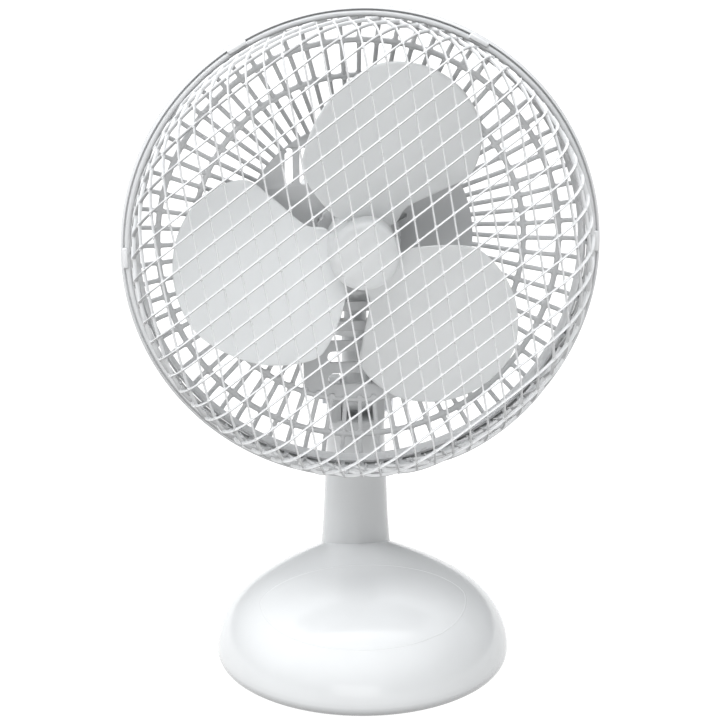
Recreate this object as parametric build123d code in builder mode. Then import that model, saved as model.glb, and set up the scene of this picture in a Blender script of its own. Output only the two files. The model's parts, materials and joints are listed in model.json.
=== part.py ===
from build123d import *
import math
import os

# A 230 mm class desk fan. Origin: centre of the round base on the table.
# +X is the viewer's right, -Y is the front of the fan, +Z is up. Millimetres.

# ---------------------------------------------------------------- driving dimensions
BASE_RADIUS = 87.7  # widest circle of the domed base
BASE_EQUATOR = 7.7  # height of that circle
DOME_RISE = 46.3  # from the widest circle to the crown
DOME_POWER = 2.67  # superellipse power of the dome's section
BASE_FOOT_RADIUS = 81.8  # where the dome turns under
BASE_WALL = 2.4
BASE_FLOOR = 1.6  # underside of the shell above the table
PLATE_THICK = 2.2

NECK_Y = 52.0  # the neck stands behind the middle of the base
NECK_BOTTOM_RADIUS = 21.4
NECK_TOP_RADIUS = 17.3
SPIGOT_RADIUS = 15.8
SPIGOT_BOTTOM = 36.0

PIVOT_HEIGHT = 150.0  # tilt hinge above the table
HEAD_TILT = 2.0  # degrees, head looking slightly up at rest
HEAD_RISE = 102.3  # fan axis above the tilt hinge, along the swivel axis
RIM_FORWARD = 50.4  # rim plane ahead of the swivel axis

RIM_RADIUS = 137.5
RIM_THICK = 4.9
RIM_DEPTH = 13.0
GRILLE_FACE = 43.0  # flat front of the grille ahead of the rim plane
GRILLE_FLAT_RADIUS = 110.0
GRILLE_WALL_RADIUS = 131.0
GRILLE_THICK = 1.8
MESH_LONG_STEP = 13.1  # cell side along the steep wires
MESH_SHORT_STEP = 12.4  # cell side along the shallow wires
MESH_SHALLOW_ANGLE = 37.3
MESH_STEEP_ANGLE = 99.9
MESH_WIRE = 1.8

GUARD_RIBS = 72
RIB_WIDTH = 2.5
GUARD_THICK = 2.4
INNER_RING_FACE = -17.0  # front of the inner guard ring
GUARD_BACK = -14.0  # front of the outer guard ring
DISC_RADIUS = 65.0
DISC_FACE = -31.0  # front of the central disc
INNER_RING_RADIUS = 96.5
OUTER_RING_RADIUS = 116.8

BLADES = 3
BLADE_TIP = 109.0
BLADE_AXIS_ANGLE = 78.0
BLADE_THICK = 2.0
HUB_RADIUS = 20.0
HUB_FRONT = 22.0
HUB_BACK = -16.0
CAP_FRONT = 27.5

MOTOR_RADIUS = 36.0
MOTOR_WALL = 2.2
MOTOR_FRONT = DISC_FACE - GUARD_THICK
MOTOR_SEAM = -68.0
MOTOR_BACK = -108.0
SHAFT_RADIUS = 4.0
RUNNING_GAP = 0.05  # radial clearance of every shaft in its bore
MOVING_GAP = 0.5  # between faces that move past each other

CRANK_THROW = 8.0
POST_OFFSET = 12.5  # link post from the swivel axis
CRANK_Z = -92.5
WORM_RADIUS = 3.6
WHEEL_RADIUS = 8.5
PINION_RADIUS = 3.6
CRANK_GEAR_RADIUS = 8.5
TOOTH_GAP = 0.3

# ---------------------------------------------------------------- frames
tilt = math.radians(HEAD_TILT)
pivot = Vector(0, NECK_Y, PIVOT_HEIGHT)
head_up = Vector(0, math.sin(tilt), math.cos(tilt))
head_forward = Vector(0, -math.cos(tilt), math.sin(tilt))
head_origin = pivot + head_up * HEAD_RISE + head_forward * RIM_FORWARD
# The head's own frame: x to the right, y up the swivel axis, z forward along the fan axis.
HEAD = Plane(origin=head_origin, x_dir=(1, 0, 0), z_dir=head_forward)
HEAD_SECTION = Plane(origin=head_origin, x_dir=(1, 0, 0), z_dir=-head_up)
HEAD_AXIS = Axis(head_origin, head_forward)


def head_point(x, y, z):
    return HEAD.from_local_coords(Vector(x, y, z))


def upright_plane(y, x=0.0, z=-RIM_FORWARD):
    """A plane square to the swivel axis: local x right, local y backwards."""
    return Plane(origin=head_point(x, y, z), x_dir=(1, 0, 0), z_dir=head_up)


def save(part, name):
    part.label = name
    export_step(part, f"parts/{name}.step")


def head_tube(outer, inner, back, front):
    """A round tube on the fan axis."""
    with BuildPart() as tube:
        with BuildSketch(HEAD.offset(back)):
            Circle(outer)
            if inner > 0:
                Circle(inner, mode=Mode.SUBTRACT)
        extrude(amount=front - back)
    return tube.part


def upright_tube(outer, inner, bottom, top, x=0.0, z=-RIM_FORWARD):
    """A round tube square to the fan axis, between two heights of the head's frame."""
    with BuildPart() as tube:
        with BuildSketch(upright_plane(bottom, x, z)):
            Circle(outer)
            if inner > 0:
                Circle(inner, mode=Mode.SUBTRACT)
        extrude(amount=top - bottom)
    return tube.part


# ---------------------------------------------------------------- base
def dome_point(angle, radius, rise):
    r = radius * math.cos(angle) ** (2 / DOME_POWER)
    return (r, BASE_EQUATOR + rise * math.sin(angle) ** (2 / DOME_POWER))


def dome_height(r, inset=0.0):
    radius = BASE_RADIUS - inset
    return BASE_EQUATOR + (DOME_RISE - inset) * (1 - (r / radius) ** DOME_POWER) ** (1 / DOME_POWER)


def dome_curve(inset):
    """Points up the dome's section, from the widest circle to the crown."""
    angles = [math.radians(a) for a in (0, 3, 9, 18, 30, 43, 57, 72)]
    side = [dome_point(a, BASE_RADIUS - inset, DOME_RISE - inset) for a in angles]
    return side + [(0, BASE_EQUATOR + DOME_RISE - inset)]


def dome_solid(inset, floor):
    foot = BASE_FOOT_RADIUS - inset
    with BuildPart() as dome:
        with BuildSketch(Plane.XZ):
            with BuildLine():
                Spline(*dome_curve(inset), tangents=((0, 1), (-1, 0)))
                Line((0, BASE_EQUATOR + DOME_RISE - inset), (0, floor))
                Line((0, floor), (foot, floor))
                ThreePointArc(
                    (foot, floor),
                    (BASE_RADIUS - inset - 1.9, floor + (BASE_EQUATOR - floor) * 0.32),
                    (BASE_RADIUS - inset, BASE_EQUATOR),
                )
            make_face()
        revolve(axis=Axis.Z)
    return dome.part


os.makedirs("parts", exist_ok=True)
outer_dome = dome_solid(0, BASE_FLOOR)
inner_dome = dome_solid(BASE_WALL, BASE_FLOOR - 1)
KNOB_HEIGHT = 22.0
KNOB_SEAT_Y = 79.0  # flat at the back of the dome for the switch knob
SWITCH_X = 0.0
GLAND_RADIUS = 4.5
gland_bearing = math.radians(22)
gland_way = Vector(math.sin(gland_bearing), math.cos(gland_bearing), 0)
gland_plane = Plane(origin=gland_way * BASE_RADIUS + Vector(0, 0, 12), z_dir=gland_way)
foot_spots = [(58 * math.cos(a), 58 * math.sin(a)) for a in (math.radians(45 + 90 * i) for i in range(4))] + [(0, 0)]
boss_spots = [(68 * math.cos(a), 68 * math.sin(a)) for a in (math.radians(90 * i) for i in (0, 2, 3))]
BOSS_RADIUS = 4.0
SCREW_RADIUS = 1.5

with BuildPart() as base_shell:
    add(outer_dome)
    add(inner_dome, mode=Mode.SUBTRACT)
    # tube that holds the neck's spigot
    with BuildSketch(Plane.XY.offset(SPIGOT_BOTTOM)):
        with Locations((0, NECK_Y)):
            Circle(SPIGOT_RADIUS + 3)
    extrude(amount=20)
    # screw bosses for the bottom plate
    with BuildSketch(Plane.XY.offset(BASE_FLOOR + PLATE_THICK)):
        with Locations(*boss_spots):
            Circle(BOSS_RADIUS)
    extrude(amount=60)
    add(outer_dome, mode=Mode.INTERSECT)
    with BuildSketch(Plane.XY.offset(SPIGOT_BOTTOM)):
        with Locations((0, NECK_Y)):
            Circle(SPIGOT_RADIUS)
    extrude(amount=30, mode=Mode.SUBTRACT)
    with BuildSketch(Plane.XY):
        with Locations(*boss_spots):
            Circle(SCREW_RADIUS)
    extrude(amount=16, mode=Mode.SUBTRACT)
    # flat and hole for the speed switch at the back
    with BuildSketch(Plane(origin=(SWITCH_X, KNOB_SEAT_Y, KNOB_HEIGHT), z_dir=(0, 1, 0))):
        Circle(16)
    extrude(amount=20, mode=Mode.SUBTRACT)
    with BuildSketch(Plane(origin=(SWITCH_X, KNOB_SEAT_Y - 8, KNOB_HEIGHT), z_dir=(0, 1, 0))):
        Circle(18)
    extrude(amount=8)
    add(outer_dome, mode=Mode.INTERSECT)
    with BuildSketch(Plane(origin=(SWITCH_X, KNOB_SEAT_Y - 12, KNOB_HEIGHT), z_dir=(0, 1, 0))):
        Circle(13)
    extrude(amount=10, mode=Mode.SUBTRACT)
    with BuildSketch(Plane(origin=(SWITCH_X, KNOB_SEAT_Y - 12, KNOB_HEIGHT), z_dir=(0, 1, 0))):
        Circle(4.2)
    extrude(amount=20, mode=Mode.SUBTRACT)
    # cord outlet beside the switch
    with BuildSketch(gland_plane.offset(-20)):
        Circle(GLAND_RADIUS)
    extrude(amount=40, mode=Mode.SUBTRACT)
save(base_shell.part, "base_shell")

with BuildPart() as base_plate:
    with BuildSketch(Plane.XY.offset(BASE_FLOOR)):
        Circle(BASE_FOOT_RADIUS - BASE_WALL - 0.4)
        with Locations(*boss_spots):
            Circle(SCREW_RADIUS, mode=Mode.SUBTRACT)
    extrude(amount=PLATE_THICK)
    # ribs that stiffen the plate
    with BuildSketch(Plane.XY.offset(BASE_FLOOR + PLATE_THICK)):
        with Locations((0, -61), (0, 66)):
            Rectangle(60, 2)
    extrude(amount=3)
save(base_plate.part, "base_plate")

with BuildPart() as rubber_feet:
    with BuildSketch(Plane.XY):
        with Locations(*foot_spots):
            Circle(7)
    extrude(amount=BASE_FLOOR)
    chamfer(rubber_feet.edges().group_by(Axis.Z)[0], length=0.5)
save(rubber_feet.part, "rubber_feet")

with BuildPart() as base_screws:
    with BuildSketch(Plane.XY.offset(BASE_FLOOR - 1.1)):
        with Locations(*boss_spots):
            Circle(3.1)
    extrude(amount=1.1)
    with BuildSketch(Plane.XY.offset(BASE_FLOOR)):
        with Locations(*boss_spots):
            Circle(SCREW_RADIUS)
    extrude(amount=12)
save(base_screws.part, "base_screws")

BALLAST_RADIUS = 46.0
with BuildPart() as ballast_weight:
    with BuildSketch(Plane.XY.offset(BASE_FLOOR + PLATE_THICK)):
        with Locations((0, -12)):
            Circle(BALLAST_RADIUS)
            Circle(5, mode=Mode.SUBTRACT)
    extrude(amount=9)
    chamfer(ballast_weight.edges().group_by(Axis.Z)[-1], length=1)
save(ballast_weight.part, "ballast_weight")

with BuildPart() as terminal_block:
    with BuildSketch(Plane.XY.offset(BASE_FLOOR + PLATE_THICK)):
        with Locations((-30, 52)):
            Rectangle(30, 14)
    extrude(amount=12)
    with BuildSketch(Plane.XY.offset(BASE_FLOOR + PLATE_THICK + 12)):
        with Locations((-30, 52)):
            with GridLocations(9, 1, 3, 1):
                Circle(2.4)
    extrude(amount=-8, mode=Mode.SUBTRACT)
save(terminal_block.part, "terminal_block")

# Speed switch: a square body behind the seat, its spindle and the knob turn together.
knob_seat = Plane(origin=(SWITCH_X, KNOB_SEAT_Y, KNOB_HEIGHT), z_dir=(0, 1, 0))
SPINDLE_RADIUS = 3.0
with BuildPart() as speed_switch:
    with BuildSketch(knob_seat.offset(-24)):
        RectangleRounded(18, 18, 1.5)
    extrude(amount=22)
    with BuildSketch(knob_seat.offset(-12)):
        Circle(SPINDLE_RADIUS + RUNNING_GAP)
    extrude(amount=10, mode=Mode.SUBTRACT)
    with BuildSketch(knob_seat.offset(-29)):
        with GridLocations(5, 8, 3, 2):
            Rectangle(0.8, 4)
    extrude(amount=5)
save(speed_switch.part, "speed_switch")

with BuildPart() as switch_spindle:
    with BuildSketch(knob_seat.offset(-11.5)):
        Circle(SPINDLE_RADIUS)
    extrude(amount=20)
save(switch_spindle.part, "switch_spindle")

with BuildPart() as speed_knob:
    with BuildSketch(knob_seat.offset(MOVING_GAP)):
        Circle(13)
    extrude(amount=3)
    with BuildSketch(knob_seat.offset(3 + MOVING_GAP)):
        Circle(10.5)
    extrude(amount=10, taper=4)
    fillet(speed_knob.edges().group_by(Axis.Y)[-1], radius=1.2)
    with BuildSketch(knob_seat.offset(3 + MOVING_GAP)):
        with PolarLocations(11.3, 18):
            Circle(1.3)
    extrude(amount=8, mode=Mode.SUBTRACT)
    with BuildSketch(knob_seat.offset(MOVING_GAP)):
        Circle(SPINDLE_RADIUS)
    extrude(amount=8.5 - MOVING_GAP, mode=Mode.SUBTRACT)
save(speed_knob.part, "speed_knob")

with BuildPart() as cord_gland:
    with BuildSketch(gland_plane.offset(-8)):
        Circle(GLAND_RADIUS)
    extrude(amount=8.6)
    with BuildSketch(gland_plane.offset(0.3)):
        Circle(6.2)
    extrude(amount=1.8)
    with BuildSketch(gland_plane.offset(2.1)):
        Circle(GLAND_RADIUS)
    extrude(amount=5, taper=8)
    with BuildSketch(gland_plane.offset(-10)):
        Circle(2.6)
    extrude(amount=20, mode=Mode.SUBTRACT)
    with BuildSketch(gland_plane.offset(-6)):
        Circle(GLAND_RADIUS + 1.6)
        Circle(GLAND_RADIUS - 0.5, mode=Mode.SUBTRACT)
    extrude(amount=1.4)
save(cord_gland.part, "cord_gland")

# ---------------------------------------------------------------- neck
FORK_FLOOR = PIVOT_HEIGHT - 12.4
EAR_INNER = 9.6
EAR_OUTER = 16.8
EAR_RADIUS = 12.4
BOLT_RADIUS = 3.0
TILT_CAP_RADIUS = 11.5
TILT_CAP_THICK = 5.4
neck_sections = [(40, 22.3), (54, 21.4), (72, 20.1), (95, 19.0), (122, 17.9), (FORK_FLOOR, NECK_TOP_RADIUS)]
neck_screw_spots = [(13.6 * math.cos(a), NECK_Y + 13.6 * math.sin(a)) for a in (math.radians(30 + 120 * i) for i in range(3))]
pivot_side = Plane(origin=pivot, x_dir=(0, 1, 0), z_dir=(1, 0, 0))


def neck_column(inset, sections):
    with BuildPart() as column:
        for height, radius in sections:
            with BuildSketch(Plane(origin=(0, NECK_Y, height))):
                Circle(radius - inset)
        loft()
    return column.part


neck_hollow = neck_column(2.8, neck_sections[1:-1] + [(FORK_FLOOR - 4, NECK_TOP_RADIUS)])
with BuildPart() as neck:
    add(neck_column(0, neck_sections))
    add(outer_dome, mode=Mode.SUBTRACT)
    add(neck_hollow, mode=Mode.SUBTRACT)
    with BuildSketch(Plane(origin=(0, NECK_Y, SPIGOT_BOTTOM))):
        Circle(SPIGOT_RADIUS)
    extrude(amount=24)
    with BuildSketch(Plane(origin=(0, NECK_Y, SPIGOT_BOTTOM))):
        Circle(11.5)
    extrude(amount=30, mode=Mode.SUBTRACT)
    with BuildSketch(Plane.XY.offset(SPIGOT_BOTTOM)):
        with Locations(*neck_screw_spots):
            Circle(SCREW_RADIUS)
    extrude(amount=12, mode=Mode.SUBTRACT)
    # the two ears of the tilt fork
    for side in (-1, 1):
        with BuildSketch(pivot_side.offset(side * (EAR_INNER + EAR_OUTER) / 2)):
            Circle(EAR_RADIUS)
            with Locations((0, -8)):
                Rectangle(2 * EAR_RADIUS, 16)
        extrude(amount=(EAR_OUTER - EAR_INNER) / 2, both=True)
    with BuildSketch(Plane(origin=(0, NECK_Y, FORK_FLOOR))):
        Circle(NECK_TOP_RADIUS + 10)
        Circle(NECK_TOP_RADIUS, mode=Mode.SUBTRACT)
    extrude(amount=40, mode=Mode.SUBTRACT)
    with BuildSketch(pivot_side):
        Circle(BOLT_RADIUS)
    extrude(amount=30, both=True, mode=Mode.SUBTRACT)
save(neck.part, "neck")

with BuildPart() as neck_lock_ring:
    with BuildSketch(Plane.XY.offset(SPIGOT_BOTTOM)):
        with Locations((0, NECK_Y)):
            Circle(18.5)
            Circle(11.5, mode=Mode.SUBTRACT)
        with Locations(*neck_screw_spots):
            Circle(SCREW_RADIUS, mode=Mode.SUBTRACT)
    extrude(amount=-2.4)
save(neck_lock_ring.part, "neck_lock_ring")

with BuildPart() as neck_screws:
    with BuildSketch(Plane.XY.offset(SPIGOT_BOTTOM - 2.4)):
        with Locations(*neck_screw_spots):
            Circle(2.0)
    extrude(amount=-1.8)
    with BuildSketch(Plane.XY.offset(SPIGOT_BOTTOM - 2.4)):
        with Locations(*neck_screw_spots):
            Circle(SCREW_RADIUS)
    extrude(amount=12)
save(neck_screws.part, "neck_screws")

with BuildPart() as tilt_bolt:
    with BuildSketch(pivot_side.offset(-EAR_OUTER - 5)):
        Circle(BOLT_RADIUS)
    extrude(amount=2 * EAR_OUTER + 5)
    with BuildSketch(pivot_side.offset(EAR_OUTER)):
        Circle(TILT_CAP_RADIUS)
    extrude(amount=TILT_CAP_THICK)
    fillet(tilt_bolt.edges().group_by(Axis.X)[-1], radius=1.8)
    with BuildSketch(pivot_side.offset(EAR_OUTER + TILT_CAP_THICK)):
        Rectangle(12, 1.6)
        Rectangle(1.6, 12)
    extrude(amount=-1.6, mode=Mode.SUBTRACT)
save(tilt_bolt.part, "tilt_bolt")

with BuildPart() as tilt_nut:
    with BuildSketch(pivot_side.offset(-EAR_OUTER)):
        RegularPolygon(5.6, 6)
        Circle(BOLT_RADIUS, mode=Mode.SUBTRACT)
    extrude(amount=-3.6)
save(tilt_nut.part, "tilt_nut")

# ---------------------------------------------------------------- tilt bracket and swivel
PLATE_TOP = -58.0
SWIVEL_PIN_RADIUS = 4.0
LINK_THICK = 2.4
LINK_TOP = PLATE_TOP + 0.4 + LINK_THICK
POST_RADIUS = 2.0
LINK_WIDTH = 6.4
CRANK_PIN_RADIUS = 1.8
with BuildPart() as tilt_bracket:
    with BuildSketch(pivot_side):
        Circle(10.4)
    extrude(amount=EAR_INNER - MOVING_GAP, both=True)
    with BuildSketch(upright_plane(-HEAD_RISE)):
        Circle(8.4)
    extrude(amount=HEAD_RISE + PLATE_TOP - 4)
    with BuildSketch(upright_plane(PLATE_TOP - 4)):
        Circle(16.5)
    extrude(amount=4)
    with BuildSketch(upright_plane(PLATE_TOP, x=-POST_OFFSET)):
        Circle(POST_RADIUS)
    extrude(amount=LINK_THICK + 0.8)
    with BuildSketch(upright_plane(PLATE_TOP - 12)):
        Circle(SWIVEL_PIN_RADIUS)
    extrude(amount=12, mode=Mode.SUBTRACT)
    with BuildSketch(pivot_side):
        Circle(BOLT_RADIUS + RUNNING_GAP)
    extrude(amount=20, both=True, mode=Mode.SUBTRACT)
save(tilt_bracket.part, "tilt_bracket")

PIN_TOP = -35.0
save(upright_tube(SWIVEL_PIN_RADIUS, 0, PLATE_TOP - 12, PIN_TOP), "swivel_pin")
save(upright_tube(6.2, SWIVEL_PIN_RADIUS, PIN_TOP - 2, PIN_TOP - 1), "swivel_clip")

SOCKET_RADIUS = 13.5
with BuildPart() as swivel_housing:
    with BuildSketch(upright_plane(-44)):
        Circle(SOCKET_RADIUS)
    extrude(amount=14)
    with BuildSketch(upright_plane(LINK_TOP + 0.6)):
        Circle(6.8)
    extrude(amount=12)
    with BuildSketch(upright_plane(PLATE_TOP)):
        Circle(5.5)
    extrude(amount=26, mode=Mode.SUBTRACT)
    with BuildSketch(upright_plane(-38)):
        Circle(8)
    extrude(amount=6, mode=Mode.SUBTRACT)
save(swivel_housing.part, "swivel_housing")
save(upright_tube(5.5, SWIVEL_PIN_RADIUS + RUNNING_GAP, PLATE_TOP + 0.4, -38), "swivel_bush")

# ---------------------------------------------------------------- oscillation gearing
wheel_x = WORM_RADIUS + TOOTH_GAP + WHEEL_RADIUS
crank_x = wheel_x - PINION_RADIUS - TOOTH_GAP - CRANK_GEAR_RADIUS
WHEEL_TEETH = 60
PINION_TEETH = 9
CRANK_TEETH = 30
GEAR_SHAFT_RADIUS = 2.0
CRANK_DISC_TOP = -48.0


def toothed(radius, teeth, depth):
    """Sketch of a gear: a disc with straight notches round it."""
    Circle(radius)
    with PolarLocations(radius, teeth):
        Rectangle(2 * depth, math.pi * radius / teeth, mode=Mode.SUBTRACT)


with BuildPart() as worm_wheel:
    with BuildSketch(upright_plane(-2, wheel_x, CRANK_Z)):
        toothed(WHEEL_RADIUS, WHEEL_TEETH, 0.5)
    extrude(amount=4)
    with BuildSketch(upright_plane(-12, wheel_x, CRANK_Z)):
        toothed(PINION_RADIUS, PINION_TEETH, 0.7)
    extrude(amount=6)
    with BuildSketch(upright_plane(-15, wheel_x, CRANK_Z)):
        Circle(GEAR_SHAFT_RADIUS)
    extrude(amount=22)
save(worm_wheel.part, "worm_wheel")

with BuildPart() as crank_gear:
    with BuildSketch(upright_plane(-11.5, crank_x, CRANK_Z)):
        toothed(CRANK_GEAR_RADIUS, CRANK_TEETH, 0.7)
    extrude(amount=5)
    with BuildSketch(upright_plane(CRANK_DISC_TOP, crank_x, CRANK_Z)):
        Circle(GEAR_SHAFT_RADIUS)
    extrude(amount=-CRANK_DISC_TOP - 5)
save(crank_gear.part, "crank_gear")

with BuildPart() as crank_disc:
    with BuildSketch(upright_plane(CRANK_DISC_TOP - 3, crank_x, CRANK_Z)):
        Circle(CRANK_THROW + 3)
    extrude(amount=3)
    with BuildSketch(upright_plane(LINK_TOP + 0.4, crank_x - CRANK_THROW, CRANK_Z)):
        Circle(CRANK_PIN_RADIUS)
    extrude(amount=CRANK_DISC_TOP - 3 - LINK_TOP - 0.4)
save(crank_disc.part, "crank_disc")

# link ends seen from above: x right, y backwards from the swivel axis
post_end = (-POST_OFFSET, 0)
crank_end = (crank_x - CRANK_THROW, -RIM_FORWARD - CRANK_Z)
link_middle = ((post_end[0] + crank_end[0]) / 2, (post_end[1] + crank_end[1]) / 2)
link_turn = math.degrees(math.atan2(crank_end[1] - post_end[1], crank_end[0] - post_end[0]))
with BuildPart() as drive_link:
    with BuildSketch(upright_plane(LINK_TOP - LINK_THICK)):
        with Locations(link_middle):
            SlotCenterToCenter(math.dist(post_end, crank_end), LINK_WIDTH, rotation=link_turn)
        with Locations(post_end):
            Circle(POST_RADIUS + RUNNING_GAP, mode=Mode.SUBTRACT)
        with Locations(crank_end):
            Circle(CRANK_PIN_RADIUS + RUNNING_GAP, mode=Mode.SUBTRACT)
    extrude(amount=LINK_THICK)
save(drive_link.part, "drive_link")

REAR_BRACKET_BACK = -78.5
box_low = Vector(-12.5, -15.5, -104)
box_high = Vector(24.5, 6.5, REAR_BRACKET_BACK)
BOX_WALL = 1.8
BEARING_RADIUS = 8.0


def head_box(low, high):
    with BuildPart() as block:
        with BuildSketch(HEAD.offset(low.Z)):
            with Locations(((low.X + high.X) / 2, (low.Y + high.Y) / 2)):
                Rectangle(high.X - low.X, high.Y - low.Y)
        extrude(amount=high.Z - low.Z)
    return block.part


inner_margin = Vector(BOX_WALL, BOX_WALL, BOX_WALL)
with BuildPart() as gearbox_housing:
    add(head_box(box_low, box_high))
    add(head_box(box_low + inner_margin, box_high - inner_margin), mode=Mode.SUBTRACT)
    with BuildSketch(HEAD.offset(box_high.Z + 1)):
        Circle(BEARING_RADIUS)
    extrude(amount=-6, mode=Mode.SUBTRACT)
    for gear_x in (wheel_x, crank_x):
        with BuildSketch(upright_plane(-20, gear_x, CRANK_Z)):
            Circle(GEAR_SHAFT_RADIUS + RUNNING_GAP)
        extrude(amount=8 if gear_x == crank_x else 40, mode=Mode.SUBTRACT)
save(gearbox_housing.part, "gearbox_housing")

KNOB_STEM_RADIUS = 2.5
with BuildPart() as oscillation_knob:
    with BuildSketch(upright_plane(10, wheel_x, CRANK_Z)):
        Circle(KNOB_STEM_RADIUS)
    extrude(amount=30)
    with BuildSketch(upright_plane(37, wheel_x, CRANK_Z)):
        Circle(5)
    extrude(amount=5)
    with BuildSketch(upright_plane(42, wheel_x, CRANK_Z)):
        Circle(7.5)
    extrude(amount=7)
    fillet(oscillation_knob.faces().sort_by(Axis.Z)[-1].edges(), radius=2)
save(oscillation_knob.part, "oscillation_knob")

# ---------------------------------------------------------------- motor
COLLAR_RADIUS = 16.5
CORNER = 9.0
STATOR_RADIUS = 28.0
STATOR_BORE = 13.4
STATOR_BACK = -70.0
STATOR_FRONT = -50.0
bolt_spots = [(25 * math.cos(a), 25 * math.sin(a)) for a in (math.radians(45), math.radians(225))]
cover_screw_spots = [(0, 24), (0, -24)]

with BuildPart() as motor_front_cover:
    with BuildSketch(HEAD.offset(MOTOR_SEAM)):
        Circle(MOTOR_RADIUS)
        Circle(MOTOR_RADIUS - MOTOR_WALL, mode=Mode.SUBTRACT)
    extrude(amount=MOTOR_FRONT - MOTOR_SEAM)
    with BuildSketch(HEAD.offset(MOTOR_FRONT - MOTOR_WALL)):
        Circle(MOTOR_RADIUS)
        Circle(COLLAR_RADIUS - 3, mode=Mode.SUBTRACT)
        with PolarLocations(25, 12):
            SlotOverall(9, 3, mode=Mode.SUBTRACT)
    extrude(amount=MOTOR_WALL)
    with BuildSketch(HEAD.offset(MOTOR_FRONT - MOTOR_WALL)):
        Circle(COLLAR_RADIUS)
        Circle(COLLAR_RADIUS - 3, mode=Mode.SUBTRACT)
    extrude(amount=MOTOR_WALL - MOTOR_FRONT - 22)
    with BuildSketch(upright_plane(-50)):
        Circle(SOCKET_RADIUS)
    extrude(amount=30, mode=Mode.SUBTRACT)
save(motor_front_cover.part, "motor_front_cover")


def rear_cup(inset):
    radius = MOTOR_RADIUS - inset
    back = MOTOR_BACK + inset
    with BuildPart() as cup:
        with BuildSketch(HEAD_SECTION):
            with BuildLine():
                Line((0, MOTOR_SEAM), (radius, MOTOR_SEAM))
                Line((radius, MOTOR_SEAM), (radius, back + CORNER))
                RadiusArc((radius, back + CORNER), (radius - CORNER, back), CORNER)
                Line((radius - CORNER, back), (0, back))
                Line((0, back), (0, MOTOR_SEAM))
            make_face()
        revolve(axis=HEAD_AXIS)
    return cup.part


with BuildPart() as motor_rear_cover:
    add(rear_cup(0))
    add(rear_cup(MOTOR_WALL), mode=Mode.SUBTRACT)
    # vents in the back
    with BuildSketch(HEAD.offset(MOTOR_BACK)):
        with GridLocations(1, 6.4, 1, 6):
            SlotOverall(30, 3)
        with Locations(*cover_screw_spots):
            Circle(SCREW_RADIUS)
    extrude(amount=MOTOR_WALL, mode=Mode.SUBTRACT)
    with BuildSketch(upright_plane(-40, crank_x, CRANK_Z)):
        Circle(4)
    extrude(amount=15, mode=Mode.SUBTRACT)
    with BuildSketch(upright_plane(24, wheel_x, CRANK_Z)):
        Circle(KNOB_STEM_RADIUS + RUNNING_GAP)
    extrude(amount=20, mode=Mode.SUBTRACT)
save(motor_rear_cover.part, "motor_rear_cover")

with BuildPart() as cover_screws:
    with BuildSketch(HEAD.offset(MOTOR_BACK)):
        with Locations(*cover_screw_spots):
            Circle(3)
    extrude(amount=-1.6)
    with BuildSketch(HEAD.offset(MOTOR_BACK)):
        with Locations(*cover_screw_spots):
            Circle(SCREW_RADIUS)
    extrude(amount=3.6)
save(cover_screws.part, "cover_screws")

with BuildPart() as stator_core:
    with BuildSketch(HEAD.offset(STATOR_BACK)):
        Circle(STATOR_RADIUS)
        Circle(STATOR_RADIUS - 6, mode=Mode.SUBTRACT)
        with PolarLocations(18, 4):
            Rectangle(9.5, 10)
        with PolarLocations(14.6, 4):
            Rectangle(2, 15)
        Circle(STATOR_BORE, mode=Mode.SUBTRACT)
        with Locations(*bolt_spots):
            Circle(1.8, mode=Mode.SUBTRACT)
    extrude(amount=STATOR_FRONT - STATOR_BACK)
save(stator_core.part, "stator_core")

stator_middle = (STATOR_BACK + STATOR_FRONT) / 2
coil_depth = STATOR_FRONT - STATOR_BACK
with BuildPart() as stator_coils:
    for quarter in range(4):
        way = Vector(math.cos(quarter * math.pi / 2), math.sin(quarter * math.pi / 2), 0)
        spot = head_point(16 * way.X, 16 * way.Y, stator_middle)
        out = head_point(17 * way.X, 17 * way.Y, stator_middle) - spot
        with BuildSketch(Plane(origin=spot, x_dir=head_forward, z_dir=out)):
            RectangleRounded(coil_depth + 5, 15, 2)
            Rectangle(coil_depth, 10, mode=Mode.SUBTRACT)
        extrude(amount=4.6)
save(stator_coils.part, "stator_coils")

save(head_tube(STATOR_BORE - 0.5, SHAFT_RADIUS, STATOR_BACK - 1, STATOR_FRONT + 1), "rotor")
save(head_tube(BEARING_RADIUS, SHAFT_RADIUS + RUNNING_GAP, -81, -74), "rear_bearing")
save(head_tube(BEARING_RADIUS, SHAFT_RADIUS + RUNNING_GAP, -46.5, -39.5), "front_bearing")


def bearing_bracket(back):
    with BuildPart() as bracket:
        with BuildSketch(HEAD.offset(back)):
            Circle(STATOR_RADIUS)
            Circle(BEARING_RADIUS, mode=Mode.SUBTRACT)
            with Locations(*bolt_spots):
                Circle(1.8, mode=Mode.SUBTRACT)
            with PolarLocations(17, 4, start_angle=0):
                Circle(4.5, mode=Mode.SUBTRACT)
        extrude(amount=2.5)
    return bracket.part


save(bearing_bracket(REAR_BRACKET_BACK), "rear_bearing_bracket")
save(bearing_bracket(-44.5), "front_bearing_bracket")

with BuildPart() as motor_bolts:
    with BuildSketch(HEAD.offset(-80)):
        with Locations(*bolt_spots):
            Circle(1.8)
    extrude(amount=38.5)
    with BuildSketch(HEAD.offset(-42)):
        with Locations(*bolt_spots):
            Circle(3.2)
    extrude(amount=2)
save(motor_bolts.part, "motor_bolts")

WORM_FRONT = -86.0
with BuildPart() as motor_shaft:
    with BuildSketch(HEAD.offset(WORM_FRONT)):
        Circle(SHAFT_RADIUS)
    extrude(amount=CAP_FRONT - 2 - WORM_FRONT)
    with BuildSketch(HEAD.offset(WORM_FRONT)):
        Circle(2)
    extrude(amount=-13)
    # cross hole for the drive pin
    with BuildSketch(upright_plane(0, 0, -12)):
        Circle(1.5)
    extrude(amount=8, both=True, mode=Mode.SUBTRACT)
save(motor_shaft.part, "motor_shaft")

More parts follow.
